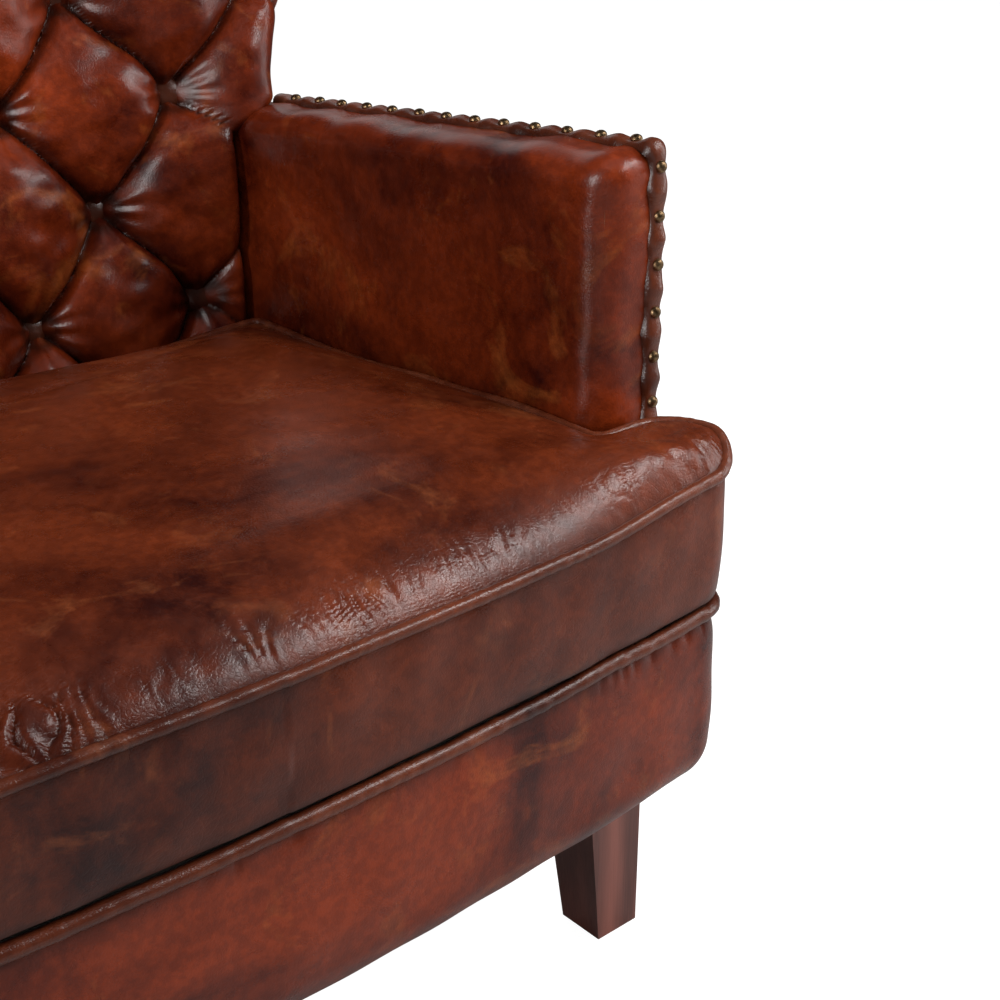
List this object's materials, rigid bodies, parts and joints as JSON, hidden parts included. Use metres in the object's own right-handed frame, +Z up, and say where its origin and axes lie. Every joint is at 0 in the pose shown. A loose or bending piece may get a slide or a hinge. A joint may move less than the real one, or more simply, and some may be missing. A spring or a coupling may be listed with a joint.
{
  "type": "upholstered armchair",
  "caption": "Leather armchair with a deep-buttoned winged back, slim nail-trimmed arms, a loose T-shaped seat cushion, a bowed front and tapered wooden legs.",
  "frame": {"origin": "middle of the bounding box at floor level", "axes": "+X across towards the right arm as seen from the front, +Y from the bowed front to the back, +Z up"},
  "size_m": [0.776, 0.7449, 0.9773],
  "materials": {
    "frame_wood": "sawn hardwood, unfinished",
    "leg_wood": "dark stained and satin varnished",
    "spring_steel": "oiled spring steel",
    "glide_plastic": "matt",
    "nail_brass": "antiqued, rubbed bright on the crown",
    "dark_cloth": "plain woven cloth",
    "webbing": "woven jute strap",
    "cushion_fill": "wrapped fill",
    "zip_tape": "woven tape with a moulded chain",
    "button_leather": "waxed and hand rubbed",
    "aged_leather": "waxed, hand-rubbed red-brown with darker mottling"
  },
  "bodies": {
    "chair_frame": {"front_rail": "frame_wood", "back_rail": "frame_wood", "side_rail_left": "frame_wood", "side_rail_right": "frame_wood", "corner_blocks": "frame_wood", "lobe_blocks": "frame_wood", "front_post_left": "frame_wood", "front_post_right": "frame_wood", "arm_rail_left": "frame_wood", "arm_rail_right": "frame_wood", "arm_slat_left": "frame_wood", "arm_slat_right": "frame_wood", "back_post_left": "frame_wood", "back_post_right": "frame_wood", "crest_rail": "frame_wood", "back_tack_rail": "frame_wood", "wing_frame_left": "frame_wood", "wing_frame_right": "frame_wood", "front_leg_left": "leg_wood", "front_leg_right": "leg_wood", "back_leg_left": "leg_wood", "back_leg_right": "leg_wood", "leg_bolts": "spring_steel", "leg_glides": "glide_plastic", "seat_springs": "spring_steel", "spring_clips": "spring_steel", "seat_deck": "dark_cloth", "back_webbing": "webbing", "front_border": "aged_leather", "base_welt": "aged_leather", "outside_arm_left": "aged_leather", "outside_arm_right": "aged_leather", "outside_back": "aged_leather", "dust_cover": "dark_cloth", "arm_pad_left": "aged_leather", "arm_pad_right": "aged_leather", "nail_strip_left": "aged_leather", "nail_strip_right": "aged_leather", "nails_left": "nail_brass", "nails_right": "nail_brass", "back_pad": "aged_leather", "wing_pad_left": "aged_leather", "wing_pad_right": "aged_leather", "back_buttons": "button_leather"},
    "seat_cushion": {"cushion_core": "cushion_fill", "cushion_border": "aged_leather", "cushion_top": "aged_leather", "cushion_bottom": "aged_leather", "cushion_welt": "aged_leather", "cushion_zip": "zip_tape"}
  },
  "joints": [
    {"name": "cushion_lift", "type": "slide", "parent": "chair_frame", "child": "seat_cushion", "axis": [0, 0, 1], "range_m": [0, 0.3]}
  ]
}
